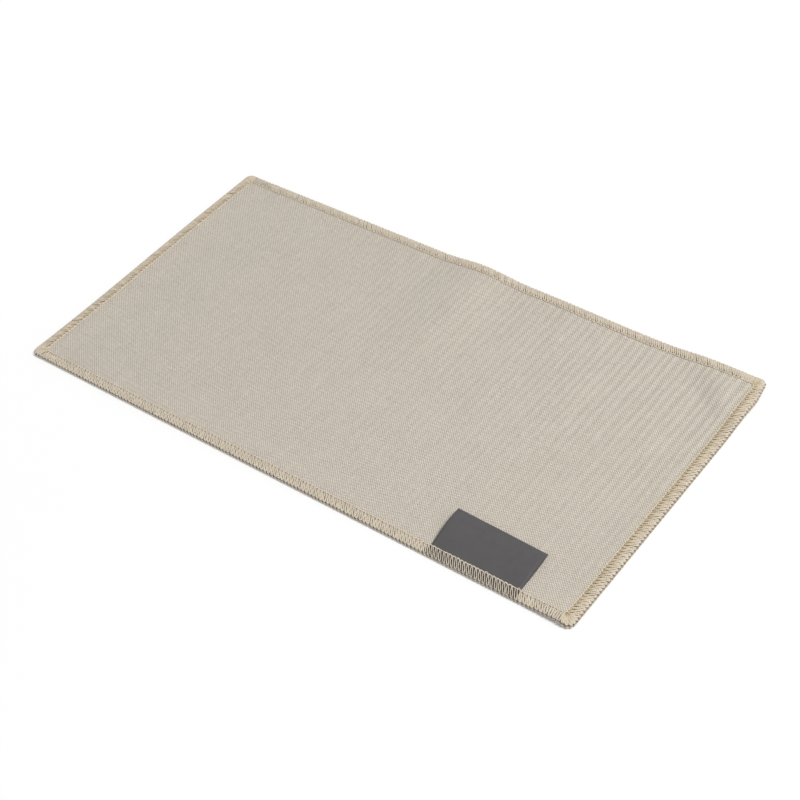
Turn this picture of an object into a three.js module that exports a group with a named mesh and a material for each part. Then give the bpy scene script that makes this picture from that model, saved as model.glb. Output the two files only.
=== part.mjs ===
// A pressing cloth: one piece of woven cotton, overlocked along its four sides with three threads, and a
// folded ribbon label caught in the front seam. Millimetres, +Z up. The origin is on the table under the
// middle of the cloth, X runs along its length, and Y runs from the front edge, which holds the label, to the
// back edge.
import * as THREE from "three";

// The cloth, measured over its stitching.
const LENGTH = 310;
const WIDTH = 164;
const CLOTH_THICKNESS = 0.9;
const CORNER_RADIUS = 3.2;

// The overlock: a stitch every STITCH_LENGTH along the edge, reaching STITCH_WIDTH in from it.
const STITCH_LENGTH = 2;
const STITCH_WIDTH = 5;
const THREAD = 0.45;
const FURROW = 0.22; // depth of the groove between two stitches
const SCALLOP = 0.4; // how far the toe of a stitch reaches past the groove beside it
const SHOULDER = 0.4; // from the edge to where the stitches turn down over it
const SLANT = 1; // stitches that a rib moves along the run on its way from toe to edge
const NEEDLE_TURN = 0.6; // radius of the needle line round a corner
const THREAD_CLEARANCE = 0.2; // between a thread and what it lies on
const RUN_CLEARANCE = 0.3; // between the ends of two runs of stitching

// The lie of the cloth: it settles onto the table inside the stitching, an old fold leaves a ridge across
// the middle that dies away from the back edge, and the back right corner curls up to a crest and over it.
const SETTLE = 14;
const RIDGE_HEIGHT = 2;
const RIDGE_HALF_WIDTH = 26;
const RIDGE_REACH = 112;
const CURL_RISE = 2.2; // up to the crest
const CURL_FALL = 0.9; // from the crest to the corner
const CURL_LENGTH = 62; // along the back edge, from the corner
const CURL_WIDTH = 44; // along the right edge, from the corner
const CURL_CREST = 0.6; // share of the way from the corner to the foot of the curl

// The label: a ribbon folded double, with its cut ends under the stitches and its fold towards the middle.
const LABEL_WIDTH = 45;
const LABEL_REACH = 20.9; // from the hinge line to the fold
const LABEL_FROM_RIGHT = 27.3; // from the right edge of the cloth
const LABEL_CAUGHT = 2.8; // length of the cut ends under the stitches
const LABEL_PLY = 0.25;
const LABEL_ROOT_GAP = 0.1; // between the plies at the seam
const LABEL_FOLD_GAP = 0.6; // between the plies at the fold
const LABEL_CLEARANCE = 0.3; // between the hinge line and the pieces on either side of it
const LABEL_TILT = THREE.MathUtils.degToRad(0.5);

// Facets.
const RIDGE_CELLS = 8;
const CURL_CELL = 8;
const FLAT_CELL = 24;
const HIDDEN_COLUMNS = 8; // columns of visible ribs to one column of the side that lies on the cloth
const FOLD_SEGMENTS = 6;
const NEEDLE_SIDES = 5;
const NEEDLE_STITCHES = 3; // stitches to one step of the needle thread

// Values that follow from those sizes.
const NEEDLE_LINE = STITCH_WIDTH + THREAD_CLEARANCE + THREAD / 2;
const FAN = NEEDLE_LINE + NEEDLE_TURN; // from the edges to where the stitches of a corner fan out from
const BACK_RIGHT = new THREE.Vector2(LENGTH / 2, WIDTH / 2);
const CORE = new THREE.Box2(BACK_RIGHT.clone().negate(), BACK_RIGHT.clone()).expandByScalar(-FAN);
const CLOTH_INSET = THREAD + THREAD_CLEARANCE; // the stitches wrap round the cut edge of the cloth
const BORDER_RISE = THREAD + THREAD_CLEARANCE; // the stitches lift the cloth off the table
const LABEL_STACK = 2 * LABEL_PLY + LABEL_ROOT_GAP;
const LABEL_CLIMB = LABEL_STACK + THREAD_CLEARANCE; // of the stitches, over the label
const LABEL_MIDDLE = LENGTH / 2 - LABEL_FROM_RIGHT - LABEL_WIDTH / 2;

// How far a value has gone from 0 to 1, eased at both ends.
function ease(value) {
  return THREE.MathUtils.smoothstep(value, 0, 1);
}

// How far a point is from the back right corner, with the foot of the curl at 1.
function fromCurledCorner(x, y) {
  return (BACK_RIGHT.x - x) / CURL_LENGTH + (BACK_RIGHT.y - y) / CURL_WIDTH;
}

// Height of the underside of the cloth above the table.
function underside(x, y) {
  const toEdge = Math.min(LENGTH / 2 - Math.abs(x), WIDTH / 2 - Math.abs(y));
  const border = BORDER_RISE * (1 - ease((toEdge - FAN) / SETTLE));
  const acrossRidge = ease(1 - Math.abs(x) / RIDGE_HALF_WIDTH);
  const alongRidge = ease(1 - (BACK_RIGHT.y - y) / RIDGE_REACH);
  const ridge = RIDGE_HEIGHT * acrossRidge * alongRidge;
  const fromCorner = fromCurledCorner(x, y);
  const rise = CURL_RISE * ease((1 - fromCorner) / (1 - CURL_CREST));
  const fall = CURL_FALL * ease(1 - fromCorner / CURL_CREST);
  return border + ridge + rise - fall;
}

// A closed surface, put together from rows of points.
class Skin {
  constructor() {
    this.positions = [];
    this.triangles = [];
  }

  // Adds points and returns their numbers.
  row(points) {
    return points.map((point) => this.positions.push(point.x, point.y, point.z) / 3 - 1);
  }

  triangle(a, b, c) {
    if (a !== b && b !== c && c !== a) this.triangles.push(a, b, c);
  }

  // Fills between two rows, each with its place along the run, by stepping along the one that is behind.
  strip(first, firstAlong, second, secondAlong) {
    let i = 0;
    let j = 0;
    while (i < first.length - 1 || j < second.length - 1) {
      const firstNext = i < first.length - 1 ? firstAlong[i + 1] : Infinity;
      const secondNext = j < second.length - 1 ? secondAlong[j + 1] : Infinity;
      if (firstNext <= secondNext) {
        this.triangle(first[i], first[i + 1], second[j]);
        i += 1;
      } else {
        this.triangle(first[i], second[j + 1], second[j]);
        j += 1;
      }
    }
  }

  geometry() {
    const geometry = new THREE.BufferGeometry();
    geometry.setAttribute("position", new THREE.Float32BufferAttribute(this.positions, 3));
    geometry.setIndex(this.triangles);
    geometry.computeVertexNormals();
    return geometry;
  }
}

// Evenly spaced values from one place to the next, without the last.
function divide(from, to, cells) {
  return Array.from({ length: cells }, (_, i) => THREE.MathUtils.lerp(from, to, i / cells));
}

// The cloth: a rounded rectangle whose grid is finest across the ridge and in the curled corner.
function clothPanel() {
  const halfLength = LENGTH / 2 - CLOTH_INSET;
  const halfWidth = WIDTH / 2 - CLOTH_INSET;
  const radius = CORNER_RADIUS;
  const border = CORE.max;
  const settled = { x: border.x - SETTLE, y: border.y - SETTLE };
  const curl = { x: LENGTH / 2 - CURL_LENGTH, y: WIDTH / 2 - CURL_WIDTH };
  const cells = (from, to, size) => divide(from, to, Math.max(1, Math.ceil((to - from) / size)));

  const columns = [
    radius - halfLength,
    ...cells(-border.x, -settled.x, SETTLE / 2),
    ...cells(-settled.x, -RIDGE_HALF_WIDTH, FLAT_CELL),
    ...divide(-RIDGE_HALF_WIDTH, RIDGE_HALF_WIDTH, RIDGE_CELLS),
    ...cells(RIDGE_HALF_WIDTH, curl.x, FLAT_CELL),
    ...cells(curl.x, settled.x, CURL_CELL),
    ...cells(settled.x, border.x, SETTLE / 2),
    border.x,
    halfLength - radius,
  ];
  const lowerArc = [-Math.PI / 2, -Math.PI / 4].map((turn) => ({ y: radius - halfWidth, turn }));
  const upperArc = [Math.PI / 4, Math.PI / 2].map((turn) => ({ y: halfWidth - radius, turn }));
  const straight = [
    radius - halfWidth,
    ...cells(-border.y, -settled.y, SETTLE / 2),
    ...cells(-settled.y, curl.y, FLAT_CELL),
    ...cells(curl.y, settled.y, CURL_CELL),
    ...cells(settled.y, border.y, SETTLE / 2),
    border.y,
    halfWidth - radius,
  ].map((y) => ({ y, turn: 0 }));

  const skin = new Skin();
  const layers = [0, CLOTH_THICKNESS].map((thickness) =>
    [...lowerArc, ...straight, ...upperArc].map(({ y, turn }) => {
      const rowY = y + radius * Math.sin(turn);
      const point = (x) => new THREE.Vector3(x, rowY, underside(x, rowY) + thickness);
      const inner = skin.row(columns.map(point));
      if (Math.abs(turn) === Math.PI / 2) return [inner[0], ...inner, inner.at(-1)];
      const reach = halfLength - radius + radius * Math.cos(turn);
      const [left, right] = skin.row([point(-reach), point(reach)]);
      return [left, ...inner, right];
    }),
  );
  const [bottom, top] = layers;
  for (let j = 0; j < top.length - 1; j += 1) {
    for (let i = 0; i < top[j].length - 1; i += 1) {
      skin.triangle(top[j][i], top[j][i + 1], top[j + 1][i]);
      skin.triangle(top[j][i + 1], top[j + 1][i + 1], top[j + 1][i]);
      skin.triangle(bottom[j][i], bottom[j + 1][i], bottom[j][i + 1]);
      skin.triangle(bottom[j][i + 1], bottom[j + 1][i], bottom[j + 1][i + 1]);
    }
  }
  const outline = (layer) => [
    ...layer[0].slice(1, -1),
    ...layer.slice(1, -1).map((row) => row.at(-1)),
    ...layer.at(-1).slice(1, -1).reverse(),
    ...layer.slice(1, -1).map((row) => row[0]).reverse(),
  ];
  const lowRim = outline(bottom);
  const highRim = outline(top);
  lowRim.forEach((low, i) => {
    const next = (i + 1) % lowRim.length;
    skin.triangle(low, lowRim[next], highRim[i]);
    skin.triangle(lowRim[next], highRim[next], highRim[i]);
  });
  return skin.geometry();
}

// The line that one run of stitching follows along the outline of the cloth, with the cloth on its left. The
// runs along the short sides are sewn last and go round the corners, and the other two stop short of them.
function runAlong(side) {
  const fan = CORE.max.x;
  const end = fan - RUN_CLEARANCE;
  const x = LENGTH / 2 - CORNER_RADIUS;
  const y = WIDTH / 2 - CORNER_RADIUS;
  const path = new THREE.Path();
  if (side === "front") path.moveTo(-end, -WIDTH / 2).lineTo(end, -WIDTH / 2);
  if (side === "back") path.moveTo(end, WIDTH / 2).lineTo(-end, WIDTH / 2);
  if (side === "right") {
    path.moveTo(fan, -WIDTH / 2).lineTo(x, -WIDTH / 2).absarc(x, -y, CORNER_RADIUS, -Math.PI / 2, 0);
    path.absarc(x, y, CORNER_RADIUS, 0, Math.PI / 2).lineTo(fan, WIDTH / 2);
  }
  if (side === "left") {
    path.moveTo(-fan, WIDTH / 2).lineTo(-x, WIDTH / 2).absarc(-x, y, CORNER_RADIUS, Math.PI / 2, Math.PI);
    path.absarc(-x, -y, CORNER_RADIUS, Math.PI, 1.5 * Math.PI).lineTo(-fan, -WIDTH / 2);
  }
  return path;
}

// A place on a run: how far along it is, the point on the outline and the points in from it, which go
// straight in along a side and towards the point of the fan at a corner.
function placeOn(path, share) {
  const outline = path.getPoint(share);
  const inward = CORE.clampPoint(outline, new THREE.Vector2()).sub(outline).divideScalar(FAN);
  return { share, outline, at: (depth) => outline.clone().addScaledVector(inward, depth) };
}

// Whether a point of the outline is where the stitches fan out round a corner.
function inCorner({ x, y }) {
  return Math.abs(x) > CORE.max.x && Math.abs(y) > CORE.max.y;
}

// How far the front stitches climb over the label: all of its thickness from one stitch beyond each side of
// it, and nothing two stitches further on.
function climb({ x, y }) {
  const beyond = Math.abs(x - LABEL_MIDDLE) - LABEL_WIDTH / 2;
  const over = 1 - ease((beyond - STITCH_LENGTH) / (2 * STITCH_LENGTH));
  return y < CORE.min.y ? over * LABEL_CLIMB : 0;
}

// Height of what a thread lies on: above the cloth and the label, or below the cloth.
function bed(point, face) {
  const below = underside(point.x, point.y);
  return face > 0 ? below + CLOTH_THICKNESS + climb(point) : below;
}

// One looper thread of a run, on the upper (face 1) or lower (face -1) side: one rib for each stitch, from a
// toe beside the needle line over a shoulder to the middle of the cut edge, where the two loopers interlock.
function looperThread(path, face) {
  const stitches = Math.round(path.getLength() / STITCH_LENGTH);
  const places = Array.from({ length: 2 * stitches + 1 }, (_, i) => placeOn(path, i / (2 * stitches)));
  const middle = ({ x, y }) => underside(x, y) + CLOTH_THICKNESS / 2 + (face * THREAD_CLEARANCE) / 2;
  const above = (place, depth, height) => {
    const point = place.at(depth);
    return new THREE.Vector3(point.x, point.y, bed(point, face) + face * (THREAD_CLEARANCE + height));
  };
  const onEdge = (place, depth) => {
    const point = place.at(depth);
    return new THREE.Vector3(point.x, point.y, middle(point));
  };
  const furrow = (i) => (i % 2 === 0 ? 1 : 0);

  // The side that lies on the cloth needs fewer columns, apart from the corners, the curl and the sides of
  // the label.
  const besideLabel = ({ outline }) => {
    const fromLabelSide = Math.abs(Math.abs(outline.x - LABEL_MIDDLE) - LABEL_WIDTH / 2);
    return outline.y < 0 && fromLabelSide < 4 * STITCH_LENGTH;
  };
  const inCurl = ({ outline }) => fromCurledCorner(outline.x, outline.y) < 1;
  const bends = (place, i) =>
    inCorner(place.outline) || (i % 2 === 0 && (inCurl(place) || besideLabel(place)));
  const last = places.length - 1;
  const hiddenPlaces = places.filter(
    (place, i) => i === last || i % HIDDEN_COLUMNS === 0 || bends(place, i),
  );

  const skin = new Skin();
  const along = places.map((place) => place.share);
  const hiddenAlong = hiddenPlaces.map((place) => place.share);
  const slanted = (shares) => shares.map((share) => share - SLANT / stitches);
  const toe = skin.row(places.map((place, i) => above(place, STITCH_WIDTH - SCALLOP * furrow(i), 0)));
  const shoulder = skin.row(places.map((place, i) => above(place, SHOULDER, THREAD - FURROW * furrow(i))));
  const edge = skin.row(places.map((place) => onEdge(place, 0)));
  const insideEdge = skin.row(hiddenPlaces.map((place) => onEdge(place, THREAD)));
  const insideCorner = skin.row(hiddenPlaces.map((place) => above(place, THREAD, 0)));

  const cap = (i, j, turn) => {
    const corners = [toe[i], shoulder[i], edge[i], insideEdge[j], insideCorner[j]];
    [[0, 1, 4], [1, 3, 4], [1, 2, 3]].forEach(([a, b, c]) => {
      if (turn > 0) skin.triangle(corners[a], corners[b], corners[c]);
      else skin.triangle(corners[a], corners[c], corners[b]);
    });
  };
  cap(0, 0, -face);
  cap(last, hiddenPlaces.length - 1, face);

  const sides = [
    [toe, along, shoulder, slanted(along)],
    [shoulder, along, edge, along],
    [edge, along, insideEdge, hiddenAlong],
    [insideEdge, hiddenAlong, insideCorner, hiddenAlong],
    [insideCorner, slanted(hiddenAlong), toe, along],
  ];
  sides.forEach(([row, rowAlong, next, nextAlong]) => {
    if (face > 0) skin.strip(next, nextAlong, row, rowAlong);
    else skin.strip(row, rowAlong, next, nextAlong);
  });
  return skin.geometry();
}

// The needle thread of a run: the line of straight stitches that shows along the toes of the upper looper.
function needleThread(path) {
  const stitches = Math.round(path.getLength() / STITCH_LENGTH);
  const places = Array.from({ length: stitches + 1 }, (_, i) => placeOn(path, i / stitches)).filter(
    ({ outline }, i) => {
      const climbed = climb(outline) / LABEL_CLIMB;
      const bends = inCorner(outline) || (climbed > 0 && climbed < 1);
      return bends || i % NEEDLE_STITCHES === 0 || i === stitches;
    },
  );
  const skin = new Skin();
  const rows = Array.from({ length: NEEDLE_SIDES }, (_, side) => {
    const turn = (2 * Math.PI * side) / NEEDLE_SIDES;
    return skin.row(
      places.map((place) => {
        const point = place.at(NEEDLE_LINE + (THREAD / 2) * Math.sin(turn));
        const lift = THREAD_CLEARANCE + THREAD / 2 + (THREAD / 2) * Math.cos(turn);
        return new THREE.Vector3(point.x, point.y, bed(place.at(NEEDLE_LINE), 1) + lift);
      }),
    );
  });
  const along = places.map((place) => place.share);
  rows.forEach((row, i) => skin.strip(row, along, rows[(i + 1) % NEEDLE_SIDES], along));
  for (let i = 1; i < NEEDLE_SIDES - 1; i += 1) {
    skin.triangle(rows[0][0], rows[i][0], rows[i + 1][0]);
    skin.triangle(rows[0].at(-1), rows[i + 1].at(-1), rows[i].at(-1));
  }
  return skin.geometry();
}

// The label is drawn from the side, X away from the seam and Y up, and its width runs along Z. This turns it
// so that it points in from the front edge.
const FROM_THE_SIDE = new THREE.Matrix4().makeBasis(
  new THREE.Vector3(0, 1, 0),
  new THREE.Vector3(0, 0, 1),
  new THREE.Vector3(1, 0, 0),
);

function labelPiece(profile) {
  const settings = { depth: LABEL_WIDTH, bevelEnabled: false, curveSegments: FOLD_SEGMENTS };
  return new THREE.ExtrudeGeometry(profile, settings).applyMatrix4(FROM_THE_SIDE);
}

// The cut ends of the ribbon, pressed together under the front stitches.
function labelSewnEnd() {
  const profile = new THREE.Shape();
  profile.moveTo(0, 0).lineTo(LABEL_CAUGHT, 0);
  profile.lineTo(LABEL_CAUGHT, LABEL_STACK).lineTo(0, LABEL_STACK).closePath();
  return labelPiece(profile);
}

// The folded ribbon from the hinge line to the fold: two plies that part a little towards the round fold.
function labelFlap() {
  const root = LABEL_STACK / 2;
  const outer = LABEL_FOLD_GAP / 2 + LABEL_PLY;
  const inner = LABEL_FOLD_GAP / 2;
  const fold = LABEL_REACH - outer;
  const profile = new THREE.Shape();
  profile.moveTo(LABEL_CLEARANCE, -root).lineTo(fold, -outer);
  profile.absarc(fold, 0, outer, -Math.PI / 2, Math.PI / 2, false);
  profile.lineTo(LABEL_CLEARANCE, root).lineTo(LABEL_CLEARANCE, LABEL_ROOT_GAP / 2).lineTo(fold, inner);
  profile.absarc(fold, 0, inner, Math.PI / 2, -Math.PI / 2, true);
  profile.lineTo(LABEL_CLEARANCE, -LABEL_ROOT_GAP / 2).closePath();
  return labelPiece(profile);
}

function finish(color, roughness) {
  return new THREE.MeshStandardMaterial({ color, roughness, metalness: 0 });
}

function named(name, geometry, material) {
  const mesh = new THREE.Mesh(geometry, material);
  mesh.name = name;
  return mesh;
}

const pressingCloth = new THREE.Group();
pressingCloth.add(named("cloth_panel", clothPanel(), finish(0xc3bbaf, 0.95)));

for (const side of ["front", "right", "back", "left"]) {
  const run = runAlong(side);
  pressingCloth.add(named(`${side}_needle_thread`, needleThread(run), finish(0xd6c8ad, 0.7)));
  pressingCloth.add(named(`${side}_upper_looper_thread`, looperThread(run, 1), finish(0xc9bca3, 0.7)));
  pressingCloth.add(named(`${side}_lower_looper_thread`, looperThread(run, -1), finish(0xc9bca3, 0.7)));
}

// The sewn end lies on the cloth under the stitches, and the flap turns about a line just behind and above
// the needle thread that crosses the label.
const seamTop = underside(LABEL_MIDDLE, -WIDTH / 2) + CLOTH_THICKNESS;
const sewnTo = NEEDLE_LINE + THREAD / 2;
const sewnFrom = sewnTo - LABEL_CAUGHT;
const sewnEnd = named("label_sewn_end", labelSewnEnd(), finish(0x605e5f, 0.6));
sewnEnd.position.set(LABEL_MIDDLE - LABEL_WIDTH / 2, sewnFrom - WIDTH / 2, seamTop + THREAD_CLEARANCE);
pressingCloth.add(sewnEnd);

const labelHinge = new THREE.Group();
const overLabel = seamTop + THREAD_CLEARANCE + LABEL_STACK + THREAD_CLEARANCE;
labelHinge.position.set(
  LABEL_MIDDLE - LABEL_WIDTH / 2,
  sewnTo + LABEL_CLEARANCE - WIDTH / 2,
  overLabel + THREAD + THREAD_CLEARANCE / 2,
);
labelHinge.rotation.x = LABEL_TILT;
labelHinge.add(named("label_flap", labelFlap(), finish(0x605e5f, 0.6)));
pressingCloth.add(labelHinge);

export default pressingCloth;
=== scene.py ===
import math
from types import SimpleNamespace

import bpy
import numpy as np
from mathutils import Matrix, Vector


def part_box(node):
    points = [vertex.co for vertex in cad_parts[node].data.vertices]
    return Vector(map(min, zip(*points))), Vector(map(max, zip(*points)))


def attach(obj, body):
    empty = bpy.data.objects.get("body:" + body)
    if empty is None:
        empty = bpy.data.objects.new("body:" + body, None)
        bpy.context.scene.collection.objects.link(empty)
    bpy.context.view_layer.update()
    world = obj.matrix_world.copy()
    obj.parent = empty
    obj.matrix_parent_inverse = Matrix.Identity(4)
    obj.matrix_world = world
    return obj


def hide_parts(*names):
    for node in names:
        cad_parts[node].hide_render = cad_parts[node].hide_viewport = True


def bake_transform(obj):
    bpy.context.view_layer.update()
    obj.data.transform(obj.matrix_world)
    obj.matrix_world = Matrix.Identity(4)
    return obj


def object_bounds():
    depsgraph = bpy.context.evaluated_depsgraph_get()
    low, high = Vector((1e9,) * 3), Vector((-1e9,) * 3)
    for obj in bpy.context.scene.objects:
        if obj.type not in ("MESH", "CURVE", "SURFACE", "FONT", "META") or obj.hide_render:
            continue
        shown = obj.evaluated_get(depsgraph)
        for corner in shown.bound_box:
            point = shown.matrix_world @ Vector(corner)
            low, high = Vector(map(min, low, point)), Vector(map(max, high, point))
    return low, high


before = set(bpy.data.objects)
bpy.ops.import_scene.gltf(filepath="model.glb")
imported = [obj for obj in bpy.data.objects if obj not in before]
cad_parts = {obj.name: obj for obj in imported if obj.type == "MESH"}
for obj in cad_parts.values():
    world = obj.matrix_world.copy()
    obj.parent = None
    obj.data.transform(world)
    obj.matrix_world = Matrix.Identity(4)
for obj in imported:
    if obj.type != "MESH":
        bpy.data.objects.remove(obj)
cad_low, cad_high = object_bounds()

# The cloth is one piece of undyed cotton canvas in a plain weave, cut to a rectangle with slightly rounded
# corners. It lies on the table by its own weight: the stitched border holds it up a little, an old fold
# leaves a ridge that dies away from the back edge, and one corner has a low swelling.
MM = 0.001
LENGTH, WIDTH = (cad_high.x - cad_low.x) / MM, (cad_high.y - cad_low.y) / MM
PANEL_LOW, PANEL_HIGH = (Vector(corner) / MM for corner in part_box("cloth_panel"))
CLOTH_LENGTH, CLOTH_WIDTH = PANEL_HIGH.x - PANEL_LOW.x, PANEL_HIGH.y - PANEL_LOW.y
CLOTH_THICKNESS = 0.9
CORNER_RADIUS = 3.2
BORDER, BORDER_RISE, SETTLE = 6.025, 0.65, 14.0
RIDGE_HEIGHT, RIDGE_HALF_WIDTH, RIDGE_REACH = 2.0, 26.0, 112.0
CURL_RISE, CURL_FALL, CURL_CREST = 3.2, 2.4, 0.6
CURL_LENGTH, CURL_WIDTH = 52.0, 44.0
CURL_AT_EDGE, CURL_SETTLE = 0.36, 14.0
BACK_DRAW, BACK_DRAW_AT, BACK_DRAW_REACH = 1.2, 95.0, 65.0
LEFT_DRAW, LEFT_DRAW_AT, LEFT_DRAW_REACH = 1.3, -50.0, 95.0
RIGHT_STRETCH, CORNER_DRAW, CORNER_DRAW_REACH = 0.6, 2.0, 16.0
FRONT_LIFT, FRONT_LIFT_START, FRONT_LIFT_REACH, FRONT_LIFT_DEPTH = 1.2, 8.0, 30.0, 20.0
RIPPLE, RIPPLE_LENGTH, RIPPLE_WIDTH = 0.22, 61.0, 50.0
CELL, ARC_CELLS = 1.6, 4

YARN, YARN_DIP, YARN_DEPTH = 0.64, 0.45, 0.16
YARN_SWAY, SWAYS_TO_METRE = 0.2, 60.0
SLUB_LENGTH, YARN_APART = 9.0, 5.37
REED_MARK, REED_MARK_LENGTH = 1.9, 30.0
REED_PITCH, REED_WANDER = 4.0, 5.0
REED_STRENGTH, REED_TO_RIGHT, REED_TO_BACK = 0.03, 0.22, 12.0
CLOUDS_TO_METRE, CLOUD_DETAIL = 24.0, 3.0
WARP_SHEEN_TONE, SPECKLE_TONE, SLUB_TONE, MARK_TONE = 0.52, 0.14, 0.4, 0.12
CLOUD_TONE, YARN_SHADE_TONE, BASE_TONE = 0.06, 0.5, 0.055
COTTON_DARK = (0.3, 0.265, 0.217, 1)
COTTON_LIGHT = (0.8, 0.735, 0.637, 1)
COTTON_ROUGHNESS, COTTON_POLISH = 0.97, 0.1


def ease(value):
    """How far a value has gone from 0 to 1, eased at both ends."""
    value = np.clip(value, 0, 1)
    return value * value * (3 - 2 * value)


def underside(x, y):
    """Height of the underside of the cloth above the table, in millimetres."""
    to_edge = np.minimum(LENGTH / 2 - np.abs(x), WIDTH / 2 - np.abs(y))
    border = BORDER_RISE * (1 - ease((to_edge - BORDER) / SETTLE))
    along_ridge = ease(1 - (WIDTH / 2 - y) / RIDGE_REACH)
    ridge = RIDGE_HEIGHT * ease(1 - np.abs(x) / RIDGE_HALF_WIDTH) * along_ridge
    from_corner = (LENGTH / 2 - x) / CURL_LENGTH + (WIDTH / 2 - y) / CURL_WIDTH
    curl = CURL_RISE * ease((1 - from_corner) / (1 - CURL_CREST))
    curl = curl - CURL_FALL * ease(1 - from_corner / CURL_CREST)
    curl = curl * (CURL_AT_EDGE + (1 - CURL_AT_EDGE) * ease((to_edge - BORDER) / CURL_SETTLE))
    from_right, from_front = LENGTH / 2 - x, WIDTH / 2 + y
    lift = FRONT_LIFT * ease(from_right / FRONT_LIFT_START) * ease(1 - from_right / FRONT_LIFT_REACH)
    lift = lift * ease(1 - from_front / FRONT_LIFT_DEPTH)
    waves = np.sin(2 * math.pi * x / RIPPLE_LENGTH + y / RIPPLE_WIDTH)
    waves = waves + np.sin(2 * math.pi * y / RIPPLE_WIDTH - x / RIPPLE_LENGTH)
    return border + ridge + curl + lift + RIPPLE * (2 + waves) / 4 * ease(to_edge / SETTLE - 1)


def drawn_in(flat):
    """Points of the cloth once the stitches have drawn in two edges and a corner and stretched one edge."""
    x, y = flat[..., 0], flat[..., 1]
    back_draw = BACK_DRAW * ease(1 - np.abs(x - BACK_DRAW_AT) / BACK_DRAW_REACH) * (0.5 + y / WIDTH)
    left_draw = LEFT_DRAW * ease(1 - np.abs(y - LEFT_DRAW_AT) / LEFT_DRAW_REACH) * (0.5 - x / LENGTH)
    right_draw = CORNER_DRAW * ease(1 - (LENGTH / 2 - x + WIDTH / 2 - y) / CORNER_DRAW_REACH)
    right_draw = right_draw - RIGHT_STRETCH * (0.5 + x / LENGTH)
    return np.stack([x + left_draw - right_draw, y - back_draw], -1)


class Shade:
    """A value, vector or colour of a material. Arithmetic on values adds the Math nodes that work it out."""

    def __init__(self, tree, socket=None):
        self.tree = tree
        self.socket = socket

    def node(self, kind, settings=None, sockets=None, output=0):
        """Adds a node and returns one of its outputs."""
        made = self.tree.nodes.new("ShaderNode" + kind)
        for name, value in (settings or {}).items():
            setattr(made, name, value)
        for key, value in (sockets or {}).items():
            if isinstance(value, Shade):
                self.tree.links.new(value.socket, made.inputs[key])
            else:
                made.inputs[key].default_value = value
        return Shade(self.tree, made.outputs[output]) if made.outputs else made

    def math(self, operation, *values):
        """A Math node on these values."""
        return self.node("Math", {"operation": operation}, dict(enumerate(values)))

    def __add__(self, other):
        return self.math("ADD", self, other)

    def __sub__(self, other):
        return self.math("SUBTRACT", self, other)

    def __rsub__(self, other):
        return self.math("SUBTRACT", other, self)

    def __mul__(self, other):
        return self.math("MULTIPLY", self, other)

    __radd__ = __add__
    __rmul__ = __mul__

    def between(self, low, high):
        """The colour this far from low to high, and no further."""
        sockets = {"Factor": self, 6: low, 7: high}
        return self.node("Mix", {"data_type": "RGBA", "clamp_factor": True}, sockets, output=2)

    def axes(self):
        """The X and Y of a vector."""
        return [self.node("SeparateXYZ", sockets={"Vector": self}, output=axis) for axis in "XY"]

    def noise(self, scale, detail=2.0):
        """A cloudy value at this place."""
        return self.node("TexNoise", sockets={"Vector": self, "Scale": scale, "Detail": detail}, output="Fac")


def start_material(name):
    """A new material, its Shade and its surface, the Principled shader."""
    material = bpy.data.materials.new(name)
    material.use_nodes = True
    return material, Shade(material.node_tree), material.node_tree.nodes["Principled BSDF"]


def feed(surface, **values):
    """Links worked-out values to the sockets of a surface, and sets plain ones."""
    for name, value in values.items():
        socket = surface.inputs[name.replace("_", " ")]
        if isinstance(value, Shade):
            value.tree.links.new(value.socket, socket)
        else:
            socket.default_value = value


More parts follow.
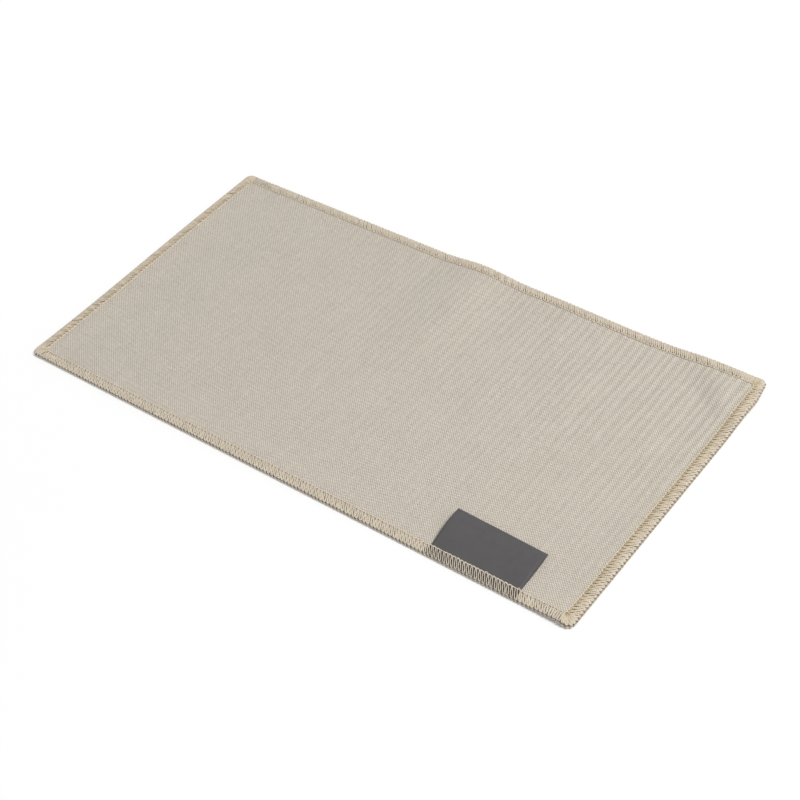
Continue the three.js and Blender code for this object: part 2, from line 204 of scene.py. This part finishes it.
def woven_cotton():
    """A plain weave: each yarn is round, passes over every other crossing and is a little uneven.

    The reed of the loom left faint streaks along the warp, which show most at the back right.
    """
    material, shade, surface = start_material("woven_cotton")
    place = shade.node("TexCoord", output="Object")
    x, y = place.axes()
    sway = place.noise(SWAYS_TO_METRE) * YARN_SWAY
    warp, weft = x * (1 / (YARN * MM)) + sway, y * (1 / (YARN * MM)) - sway
    warp_number, weft_number = (shade.math("FLOOR", yarn) for yarn in (warp, weft))
    waves = (shade.math("SINE", yarn * math.pi) for yarn in (warp, weft))
    warp_round, weft_round = (shade.math("ABSOLUTE", wave) for wave in waves)
    warp_over = shade.math("FLOORED_MODULO", warp_number + weft_number, 2.0)
    warp_height = warp_round * (1 - YARN_DIP + YARN_DIP * weft_round)
    weft_height = weft_round * (1 - YARN_DIP + YARN_DIP * warp_round)
    height = warp_height * warp_over + weft_height * (1 - warp_over)

    crossing = shade.node("CombineXYZ", sockets={"X": warp_number, "Y": weft_number})
    speckle = shade.node("TexWhiteNoise", {"noise_dimensions": "2D"}, {"Vector": crossing}, output="Value")
    slubs = []
    for number, along in ((warp_number, y), (weft_number, x)):
        along_yarn = {"X": number * YARN_APART, "Y": along * (1 / (SLUB_LENGTH * MM))}
        slubs.append(shade.node("CombineXYZ", sockets=along_yarn).noise(1.0) - 0.5)
    uneven = slubs[0] * warp_over + slubs[1] * (1 - warp_over)
    along_marks = {"X": x * (1 / (REED_MARK * MM)), "Y": y * (1 / (REED_MARK_LENGTH * MM))}
    marks = shade.node("CombineXYZ", sockets=along_marks).noise(1.0)
    reed = shade.math("SINE", x * (2 * math.pi / (REED_PITCH * MM)) + marks * REED_WANDER)
    streaks = reed * (REED_STRENGTH + REED_TO_RIGHT * x) * (1 + REED_TO_BACK * y)
    cloudy = place.noise(CLOUDS_TO_METRE, CLOUD_DETAIL)
    # Painted sheen: crossings where the warp lies on top are lighter.
    tone = WARP_SHEEN_TONE * warp_over + SPECKLE_TONE * speckle + SLUB_TONE * uneven + MARK_TONE * marks
    # Painted shade: the dips between the round yarns are darker than their crowns.
    tone = tone + streaks + CLOUD_TONE * cloudy + YARN_SHADE_TONE * (height - 0.5) + BASE_TONE
    feed(surface, Base_Color=tone.between(COTTON_DARK, COTTON_LIGHT))
    feed(surface, Roughness=COTTON_ROUGHNESS - height * COTTON_POLISH)
    relief = {"Strength": 0.6, "Distance": YARN_DEPTH * MM, "Height": height}
    feed(surface, Normal=shade.node("Bump", sockets=relief))
    feed(surface, Specular_IOR_Level=0.2, Sheen_Weight=0.15)
    return material


def add_mesh(name, points, faces, material):
    """A smooth object from points in millimetres."""
    mesh = bpy.data.meshes.new(name)
    mesh.from_pydata((np.asarray(points) * MM).tolist(), [], faces)
    mesh.materials.append(material)
    mesh.shade_smooth()
    made = bpy.data.objects.new(name, mesh)
    bpy.context.scene.collection.objects.link(made)
    return made


def thick_sheet(name, middle, thickness, material):
    """A closed sheet of even thickness about a grid of points in millimetres."""
    rows, columns = middle.shape[:2]
    normals = np.cross(np.gradient(middle, axis=1), np.gradient(middle, axis=0))
    normals /= np.linalg.norm(normals, axis=2, keepdims=True)
    points = np.concatenate([middle + normals * thickness / 2, middle - normals * thickness / 2])
    number = np.arange(rows * columns).reshape(rows, columns)
    quads = np.stack([number[:-1, :-1], number[:-1, 1:], number[1:, 1:], number[1:, :-1]], -1).reshape(-1, 4)
    rim = np.concatenate([number[0, :-1], number[:-1, -1], number[-1, :0:-1], number[:0:-1, 0]])
    after = np.roll(rim, -1)
    under = rows * columns
    sides = np.stack([rim, rim + under, after + under, after], -1)
    faces = np.concatenate([quads, quads[:, ::-1] + under, sides])
    return add_mesh(name, points.reshape(-1, 3), faces.tolist(), material)


def spread(half, radius):
    """Places across the cloth from one edge to the other, with a few cells in each rounded corner."""
    core = half - radius
    corner = np.linspace(core, half, ARC_CELLS + 1)[1:]
    inside = np.linspace(-core, core, round(2 * core / CELL) + 1)
    return np.concatenate([-corner[::-1], inside, corner])


half_size = np.array([CLOTH_LENGTH, CLOTH_WIDTH]) / 2
grid = np.stack(np.meshgrid(*(spread(half, CORNER_RADIUS) for half in half_size)), -1)
core = np.clip(grid, CORNER_RADIUS - half_size, half_size - CORNER_RADIUS)
out = (grid - core) / CORNER_RADIUS
flat_cloth = core + CORNER_RADIUS * out * np.sqrt(1 - out[..., ::-1] ** 2 / 2)
cloth_middle = underside(flat_cloth[..., 0], flat_cloth[..., 1]) + CLOTH_THICKNESS / 2
canvas = np.concatenate([drawn_in(flat_cloth), cloth_middle[..., None]], -1)
cloth = thick_sheet("canvas", canvas, CLOTH_THICKNESS, woven_cotton())
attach(cloth, "cloth")
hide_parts("cloth_panel")

# The edge is overlocked with three cotton threads on each side of the cloth. The needle thread runs in a line
# of short stitches, and the loops of the upper and lower loopers hang from it, lie across the border and lock
# together on the cut edge. The short sides are sewn last, round the corners.
STITCH_LENGTH = 2.0
POINTS_PER_STITCH, POINTS_PER_NEEDLE_STITCH, THREAD_SIDES, SECTION_STEPS = 20, 8, 6, 200
RUN_GAP = 0.3
SLANT_TAPER = 5.0
TOE_TAPER, LOCK_TAPER = 0.5, 0.1
CORNER_TURN, CORNER_SPREAD = 0.5, 0.2
LOCK_BULGE = 0.2
UPPER_SQUARENESS, LOWER_SQUARENESS = 2.4, 3.5
LOCK_HEIGHT, LOWER_LOFT = 0.72, 0.42
TOE_DIP_START = 0.9
THREAD_RADIUS = 0.2
NEEDLE_ARCH = 0.12
UNEVEN_ALONG, UNEVEN_DEPTH, UNEVEN_NEEDLE, UNEVEN_SEED = 0.07, 0.16, 0.05, 7

PLIES, PLIES_TO_MM, PLY_DEPTH, FLUFF_TO_METRE = 2.0, 1.1, 0.08, 500.0
PLY_SHADE_TONE, FLUFF_TONE, DARKER_TONE = 0.35, 0.9, 0.1
THREAD_ROUGHNESS, PLY_POLISH = 0.7, 0.15
LOOPER_SHADE, LOOPER_LIGHT = (0.44, 0.36, 0.255, 1), (0.73, 0.655, 0.535, 1)
# Browner colours for the painted shade deep at the toes of the loops.
SHADED_TOE_DARK, SHADED_TOE_LIGHT = (0.46, 0.35, 0.205, 1), (0.74, 0.61, 0.415, 1)
NEEDLE_SHADE, NEEDLE_LIGHT = (0.56, 0.46, 0.33, 1), (0.82, 0.72, 0.57, 1)

LABEL_LOW, LABEL_HIGH = (Vector(corner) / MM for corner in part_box("label_sewn_end"))
LABEL_STACK = LABEL_HIGH.z - LABEL_LOW.z
LABEL_FROM_EDGE = 0.8
LABEL_END = LABEL_FROM_EDGE - WIDTH / 2

straight_x, straight_y = LENGTH - 2 * CORNER_RADIUS, WIDTH - 2 * CORNER_RADIUS
quarter = CORNER_RADIUS * math.pi / 2
lengths = [straight_x, quarter, straight_y, quarter] * 2
starts = np.concatenate([[0], np.cumsum(lengths)])
chance = np.random.default_rng(UNEVEN_SEED)


def outline(s):
    """Points of the outline, from the left end of the front edge round to the right, and the ways in."""
    s = s % starts[-1]
    heading = sum(np.clip((s - start) / CORNER_RADIUS, 0, math.pi / 2) for start in starts[1:-1:2])
    centre = np.array([-straight_x / 2, -straight_y / 2]) + np.zeros((len(s), 2))
    for start, length, way in zip(starts[::2], lengths[::2], ((1, 0), (0, 1), (-1, 0), (0, -1))):
        centre += np.clip(s - start, 0, length)[:, None] * np.array(way)
    edge = centre + CORNER_RADIUS * np.stack([np.sin(heading), -np.cos(heading)], -1)
    inside = np.array([LENGTH, WIDTH]) / 2 - BORDER
    return edge, (np.clip(edge, -inside, inside) - edge) / BORDER


def climb(x, y):
    """How far the front stitches climb to pass over the label."""
    beside = 1 - ease(np.maximum(LABEL_LOW.x - x, x - LABEL_HIGH.x) / STITCH_LENGTH)
    outside = 1 - ease((LABEL_END - y) / STITCH_LENGTH)
    return np.where(y < BORDER - WIDTH / 2, LABEL_STACK * beside * outside, 0)


def sewing_thread(name, dark, light):
    """Two plies of cotton, wound round each other, with a slight gloss and a browner painted shade towards
    the toes.
    """
    material, shade, surface = start_material(name)
    along, around = shade.node("UVMap", {"uv_map": "winding"}).axes()
    plies = shade.math("ABSOLUTE", shade.math("SINE", (around * PLIES + along * PLIES_TO_MM) * math.pi))
    fluff = shade.node("TexCoord", output="Object").noise(FLUFF_TO_METRE)
    # Painted shade: the grooves between the plies are darker than their crowns.
    tone = plies * PLY_SHADE_TONE + fluff * FLUFF_TONE - DARKER_TONE
    # Painted shade: the toes turn browner and darker, as if shaded deep between the loops.
    warmth = shade.node("Attribute", {"attribute_name": "warmth"}, output="Fac")
    cotton = warmth.between(tone.between(dark, light), tone.between(SHADED_TOE_DARK, SHADED_TOE_LIGHT))
    feed(surface, Base_Color=cotton, Roughness=THREAD_ROUGHNESS - plies * PLY_POLISH)
    relief = {"Strength": 0.5, "Distance": PLY_DEPTH * MM, "Height": plies}
    feed(surface, Normal=shade.node("Bump", sockets=relief))
    feed(surface, Specular_IOR_Level=0.5, Sheen_Weight=0.2)
    return material


def thread_along(name, middle, facing, wide, thin, material):
    """A thread with an oval section along a line of points, its flat side turned to the way that it faces."""
    ahead = np.gradient(middle, axis=0)
    ahead /= np.linalg.norm(ahead, axis=1, keepdims=True)
    side = np.cross(ahead, facing)
    side /= np.linalg.norm(side, axis=1, keepdims=True)
    up = np.cross(side, ahead)
    turn = np.linspace(0, 2 * math.pi, THREAD_SIDES, endpoint=False)[None, :, None]
    ring = side[:, None] * wide[:, None, None] * np.cos(turn) + up[:, None] * thin * np.sin(turn)
    points = (middle[:, None] + ring).reshape(-1, 3)
    count = len(middle)
    number = np.arange(count * THREAD_SIDES).reshape(count, THREAD_SIDES)
    beside = np.roll(number, -1, axis=1)
    quads = np.stack([number[:-1], beside[:-1], beside[1:], number[1:]], -1).reshape(-1, 4)
    made = add_mesh(name, points, quads.tolist() + [number[0, ::-1].tolist(), number[-1].tolist()], material)

    distance = np.concatenate([[0], np.cumsum(np.linalg.norm(np.diff(middle, axis=0), axis=1))])
    step = np.arange(THREAD_SIDES) / THREAD_SIDES
    corner_u = np.stack([distance[:-1], distance[:-1], distance[1:], distance[1:]], -1)
    corner_v = np.stack([step, step + 1 / THREAD_SIDES, step + 1 / THREAD_SIDES, step], -1)
    winding = np.zeros((len(made.data.loops), 2), np.float32)
    winding[: quads.size, 0] = np.repeat(corner_u[:, None], THREAD_SIDES, axis=1).ravel()
    winding[: quads.size, 1] = np.repeat(corner_v[None], count - 1, axis=0).ravel()
    made.data.uv_layers.new(name="winding").data.foreach_set("uv", winding.ravel())
    return made


def wander(stitches, t, amount):
    """A small unevenness that changes from one turn of the thread to the next, with two turns to a stitch."""
    return np.interp(t, np.arange(2 * stitches + 1) / 2, chance.normal(0, amount, 2 * stitches + 1))


def border_section(width, squareness, drop, share):
    """The way across the border, at shares of its length from the needle line to the lock on the edge.

    Gives how far it has gone towards the edge, how much of the drop is still below it, and how steep it is.
    """
    turn = np.linspace(math.pi / 2, 0, SECTION_STEPS)
    across = np.cos(turn).clip(0) ** (2 / squareness)
    above = np.sin(turn).clip(0) ** (2 / squareness)
    ahead, down = np.gradient(across * width), -np.gradient(above * drop)
    length = np.hypot(ahead, down)
    reached = np.concatenate([[0], np.cumsum((length[1:] + length[:-1]) / 2)])
    return [np.interp(share, reached / reached[-1], value) for value in (across, above, down / length)]


def looper(name, start, end, side, face, material):
    """One looper thread of a run, on the upper (face 1) or lower (face -1) side of the cloth.

    It goes from one lock on the edge to the next by way of a toe, which lies back along the run by the slant.
    """
    stitches = round((end - start) / STITCH_LENGTH)
    t = np.arange(stitches * POINTS_PER_STITCH + 1) / POINTS_PER_STITCH
    share = (1 + np.cos(2 * math.pi * t)) / 2
    taper = ease(t / SLANT_TAPER) * ease((stitches - t) / SLANT_TAPER)
    bulge = side.bulge + (LOCK_BULGE - side.bulge) * share
    along = t + bulge / STITCH_LENGTH * np.sin(4 * math.pi * t) - side.slant * taper * (1 - share)
    along = np.clip(along + wander(stitches, t, UNEVEN_ALONG) * taper, 0, stitches)
    edge, inward = outline(start + along / stitches * (end - start))

    # Its way across the border and its height, over the label too.
    squareness = UPPER_SQUARENESS if face > 0 else LOWER_SQUARENESS
    lock = LOCK_HEIGHT + face * side.lock_gap
    drop = CLOTH_THICKNESS + side.loft - lock if face > 0 else lock + LOWER_LOFT
    across, above, steep = border_section(side.reach, squareness, drop, share)
    reach = side.reach - THREAD_RADIUS + wander(stitches, t, UNEVEN_DEPTH) * (1 - share)
    depth = THREAD_RADIUS + reach * (1 - across) - (side.lower_out * across if face < 0 else 0)
    flank = edge + inward * depth[:, None]
    over_label = climb(flank[:, 0], flank[:, 1]) if face > 0 else np.zeros(len(t))
    towards_toe = np.clip((depth - TOE_DIP_START) / (side.reach - TOE_DIP_START), 0, 1)
    dip = side.dip * towards_toe**2 if face > 0 else 0
    z = underside(flank[:, 0], flank[:, 1]) + lock + face * ((drop + over_label) * above - dip)
    facing = np.concatenate([-inward * steep[:, None], face * np.sqrt(1 - steep**2)[:, None]], 1)

    # Its width: wide on the legs, narrow at toe and lock, round over the label and fanned out at a corner.
    wide = side.head + (side.leg - side.head) * ease(share / TOE_TAPER) * ease((1 - share) / LOCK_TAPER)
    wide = wide + (THREAD_RADIUS - wide) * over_label / LABEL_STACK
    round_corner = ease(np.abs(inward).min(axis=1) / CORNER_TURN)
    wide = wide * (1 + round_corner * (CORNER_SPREAD - (1 + CORNER_SPREAD) * depth / BORDER))
    made = thread_along(name, np.column_stack([drawn_in(flank), z]), facing, wide, THREAD_RADIUS, material)
    # Painted shade towards the toes, strongest on the right side.
    warmth = np.repeat(side.warmth * towards_toe, THREAD_SIDES).astype(np.float32)
    made.data.attributes.new("warmth", "FLOAT", "POINT").data.foreach_set("value", warmth)
    return made


def needle_line(name, start, end, side, material):
    """The needle thread of a run: short stitches that arch over the loops and dip in at each hole."""
    stitches = round((end - start) / STITCH_LENGTH)
    t = np.arange(stitches * POINTS_PER_NEEDLE_STITCH + 1) / POINTS_PER_NEEDLE_STITCH
    edge, inward = outline(start + t / stitches * (end - start))
    line = edge + inward * (side.needle + wander(stitches, t, UNEVEN_NEEDLE))[:, None]
    top = underside(line[:, 0], line[:, 1]) + CLOTH_THICKNESS + climb(line[:, 0], line[:, 1])
    z = top + side.rise + NEEDLE_ARCH * np.sqrt(np.abs(np.sin(math.pi * t)))
    facing = np.tile((0.0, 0.0, 1.0), (len(t), 1))
    wide = np.full(len(t), THREAD_RADIUS)
    return thread_along(name, np.column_stack([drawn_in(line), z]), facing, wide, THREAD_RADIUS, material)


looper_finish = sewing_thread("looper_thread", LOOPER_SHADE, LOOPER_LIGHT)
needle_finish = sewing_thread("needle_thread", NEEDLE_SHADE, NEEDLE_LIGHT)
into_corner = BORDER - CORNER_RADIUS
runs = {
    "front": (starts[0] + into_corner + RUN_GAP, starts[1] - into_corner - RUN_GAP),
    "right": (starts[1] - into_corner, starts[4] + into_corner),
    "back": (starts[4] + into_corner + RUN_GAP, starts[5] - into_corner - RUN_GAP),
    "left": (starts[5] - into_corner, starts[8] + into_corner),
}

# How each side is sewn, in millimetres. A loop leans by slant stitches, has its reach from the edge, and
# swells by its bulge. Leg and head are half the thread's width along a loop and at its ends. Upper loops
# stand loft above the cloth and dip at the toe. Lock_gap parts them from the lower loops, which stand
# lower_out past the edge. The needle line lies needle in from the edge, and rise lifts it. The last entry
# says how much browner painted shade the toes get.
sides = {
    "front": SimpleNamespace(
        slant=1.6, reach=5.3, bulge=0.5, leg=0.42, head=0.2, loft=0.75, dip=0.6,
        lock_gap=0.2, lower_out=0.05, needle=4.9, rise=0.16, warmth=0.0,
    ),
    "right": SimpleNamespace(
        slant=1.45, reach=5.4, bulge=0.46, leg=0.43, head=0.22, loft=1.15, dip=1.0,
        lock_gap=0.26, lower_out=0.45, needle=5.6, rise=0.16, warmth=1.0,
    ),
    "back": SimpleNamespace(
        slant=1.6, reach=5.0, bulge=0.23, leg=0.46, head=0.31, loft=0.7, dip=0.45,
        lock_gap=0.2, lower_out=0.05, needle=4.95, rise=0.1, warmth=0.0,
    ),
    "left": SimpleNamespace(
        slant=1.45, reach=4.9, bulge=0.24, leg=0.46, head=0.32, loft=0.95, dip=0.75,
        lock_gap=0.2, lower_out=0.2, needle=5.05, rise=0.06, warmth=0.5,
    ),
}
for name, (start, end) in runs.items():
    side = sides[name]
    needle = needle_line(f"{name}_needle_stitches", start, end, side, needle_finish)
    upper = looper(f"{name}_upper_loops", start, end, side, 1, looper_finish)
    lower = looper(f"{name}_lower_loops", start, end, side, -1, looper_finish)
    for piece, node in ((needle, "needle"), (upper, "upper_looper"), (lower, "lower_looper")):
        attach(piece, "cloth")
        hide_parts(f"{name}_{node}_thread")

# The label is a dark satin ribbon, folded double with its cut ends under the front stitches and its fold
# towards the middle of the cloth. Its fold stands off the cloth, most at the left corner.
LABEL_PLY = 0.25
LABEL_CELL, LABEL_COLUMNS, FOLD_STEPS = 0.8, 36, 8
LABEL_LEFT_LIFT, LABEL_RIGHT_LIFT, LABEL_BOW, LABEL_LEFT_BOW = 3.5, 1.9, 0.25, 0.9
LABEL_LEAN = 1.15
FOLD_RADIUS, PLY_GAP, PLY_PARTING, PARTED_SHARE = 0.34, 0.02, 0.8, 1 / 3
SEAM_SINK = 0.1
RIB, RIB_DEPTH = 0.3, 0.05
DYE_TO_METRE, DYE_DETAIL = 260.0, 4.0
SATIN_ROUGHNESS, DYE_ROUGHNESS = 0.55, 0.2
SATIN_DARK = (0.069, 0.064, 0.066, 1)
SATIN_LIGHT = (0.095, 0.0885, 0.0905, 1)


def satin_ribbon():
    """A dull satin with fine ribs across it, dyed a little unevenly."""
    material, shade, surface = start_material("satin_ribbon")
    place = shade.node("TexCoord", output="Object")
    across = place.axes()[0]
    ribs = shade.math("SINE", across * (2 * math.pi / (RIB * MM)))
    dye = place.noise(DYE_TO_METRE, DYE_DETAIL)
    feed(surface, Base_Color=dye.between(SATIN_DARK, SATIN_LIGHT))
    feed(surface, Roughness=SATIN_ROUGHNESS + dye * DYE_ROUGHNESS)
    relief = {"Strength": 0.25, "Distance": RIB_DEPTH * MM, "Height": ribs}
    feed(surface, Normal=shade.node("Bump", sockets=relief))
    feed(surface, Specular_IOR_Level=0.3, Sheen_Weight=0.1)
    return material


flap_high = Vector(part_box("label_flap")[1]) / MM
seam_y, fold_y = LABEL_END, flap_high.y - FOLD_RADIUS
ply_y = np.linspace(seam_y, fold_y, round((fold_y - seam_y) / LABEL_CELL) + 1)
fold_turn = np.linspace(-math.pi / 2, math.pi / 2, FOLD_STEPS + 1)[1:-1]
ribbon_y = np.concatenate([ply_y, fold_y + FOLD_RADIUS * np.cos(fold_turn), ply_y[::-1]])
ribbon_side = np.concatenate([-np.ones(len(ply_y)), np.sin(fold_turn), np.ones(len(ply_y))])
across_label, label_y = np.meshgrid(np.linspace(0, 1, LABEL_COLUMNS + 1), ribbon_y)
from_seam = np.clip((label_y - LABEL_HIGH.y) / (fold_y - LABEL_HIGH.y), 0, 1)
label_x = LABEL_LOW.x + across_label * (LABEL_HIGH.x - LABEL_LOW.x) + LABEL_LEAN * (0.5 - from_seam)
seam_z = (LABEL_LOW.z + LABEL_HIGH.z) / 2 - SEAM_SINK
fold_z = LABEL_LEFT_LIFT + (LABEL_RIGHT_LIFT - LABEL_LEFT_LIFT) * across_label
label_bow = LABEL_BOW + LABEL_LEFT_BOW * ease(1 - 2 * across_label)
label_z = seam_z + (fold_z - seam_z) * ease(from_seam) + label_bow * np.sin(math.pi * from_seam)
half_gap = LABEL_PLY / 2 + PLY_GAP + (FOLD_RADIUS - LABEL_PLY / 2) * from_seam
half_gap = half_gap + PLY_PARTING * np.sin(math.pi * from_seam) * ease(1 - (1 - across_label) / PARTED_SHARE)
ribbon = np.stack([label_x, label_y, label_z + ribbon_side[:, None] * half_gap], -1)
label = thick_sheet("ribbon_label", ribbon, LABEL_PLY, satin_ribbon())
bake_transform(label)
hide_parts("label_sewn_end", "label_flap")
ribbon_length = 2 * (fold_y - seam_y) + math.pi * FOLD_RADIUS
ribbon_length * MM

# The table is a plain sheet of white paper, matt and uncoated, that fades into a white backdrop. It is lit
# softly from all round and by one large lamp to the right, whose distance and size are given in metres.
FLOOR_SIZE = 6000.0
FLOOR_WHITE = (0.86, 0.86, 0.86, 1)
FLOOR_GLOW, GLOW_TO_LEFT, GLOW_FAR = 0.12, 0.28, 0.25
SKY = 0.42
LAMP_TURN, LAMP_HEIGHT, LAMP_DISTANCE = math.radians(80), math.radians(56), 2.2
LAMP_SIZE, LAMP_LEVEL = 0.9, 0.64


def way_to(turn, height):
    """The way to something that stands this far round from the back of the cloth and this high."""
    level = math.cos(height)
    return Vector((math.sin(turn) * level, math.cos(turn) * level, math.sin(height)))


def seen(shade):
    """1 where the eye meets the paper or backdrop, also in something glossy or clear, and 0 elsewhere."""
    kinds = ("Is Camera Ray", "Is Glossy Ray", "Is Transmission Ray")
    camera_ray, glossy_ray, clear_ray = (shade.node("LightPath", output=kind) for kind in kinds)
    return shade.math("MINIMUM", camera_ray + glossy_ray + clear_ray, 1.0)


def white_paper():
    """A matt white that glows a little to the eye, more to the left and far away, to meet the backdrop."""
    material = bpy.data.materials.new("white_paper")
    material.use_nodes = True
    material.node_tree.nodes.clear()
    shade = Shade(material.node_tree)
    x, y = shade.node("TexCoord", output="Object").axes()
    fade = FLOOR_GLOW - GLOW_TO_LEFT * x + GLOW_FAR * (x * x + y * y)
    glow = shade.node("Emission", sockets={"Strength": seen(shade) * fade})
    matt = shade.node("BsdfDiffuse", sockets={"Color": FLOOR_WHITE})
    shade.node("OutputMaterial", sockets={"Surface": shade.node("AddShader", sockets={0: matt, 1: glow})})
    return material


corners = np.array([(-1, -1, 0), (1, -1, 0), (1, 1, 0), (-1, 1, 0)])
floor = add_mesh("floor", corners * FLOOR_SIZE / 2, [(0, 1, 2, 3)], white_paper())

world = bpy.data.worlds.new("studio")
bpy.context.scene.world = world
world.use_nodes = True
level = SKY + (1 - SKY) * seen(Shade(world.node_tree))
feed(world.node_tree.nodes["Background"], Color=(1, 1, 1, 1), Strength=level)

lamp = bpy.data.objects.new("lamp", bpy.data.lights.new("lamp", "AREA"))
lamp.data.shape = "DISK"
lamp.data.size = LAMP_SIZE
lamp.data.energy = LAMP_LEVEL * math.pi**2 * LAMP_DISTANCE**2 / math.sin(LAMP_HEIGHT)
lamp.location = way_to(LAMP_TURN, LAMP_HEIGHT) * LAMP_DISTANCE
lamp.rotation_mode = "QUATERNION"
lamp.rotation_quaternion = way_to(LAMP_TURN, LAMP_HEIGHT).to_track_quat("Z", "Y")
bpy.context.scene.collection.objects.link(lamp)

# The camera stands in front of the right end, looks down at the cloth and leans a little to one side. Its
# place is given in lengths of the cloth.
CAMERA_TURN, CAMERA_HEIGHT, CAMERA_LEAN = math.radians(137.64), math.radians(43.74), math.radians(-7.45)
CAMERA_PLACE = Vector((1.260, -1.359, 1.706)) * LENGTH * MM
CAMERA_LENS, CAMERA_SENSOR = 75.4, 36.0

back = way_to(CAMERA_TURN, CAMERA_HEIGHT)
right = Vector((0, 0, 1)).cross(back).normalized()
upright = Matrix((right, back.cross(right), back)).transposed()
camera = bpy.data.objects.new("camera", bpy.data.cameras.new("camera"))
camera.data.lens = CAMERA_LENS
camera.data.sensor_width = CAMERA_SENSOR
turned = (upright @ Matrix.Rotation(CAMERA_LEAN, 3, "Z")).to_4x4()
camera.matrix_world = Matrix.Translation(CAMERA_PLACE) @ turned
bpy.context.scene.collection.objects.link(camera)
bpy.context.scene.camera = camera
bpy.context.scene.view_settings.view_transform = "Standard"
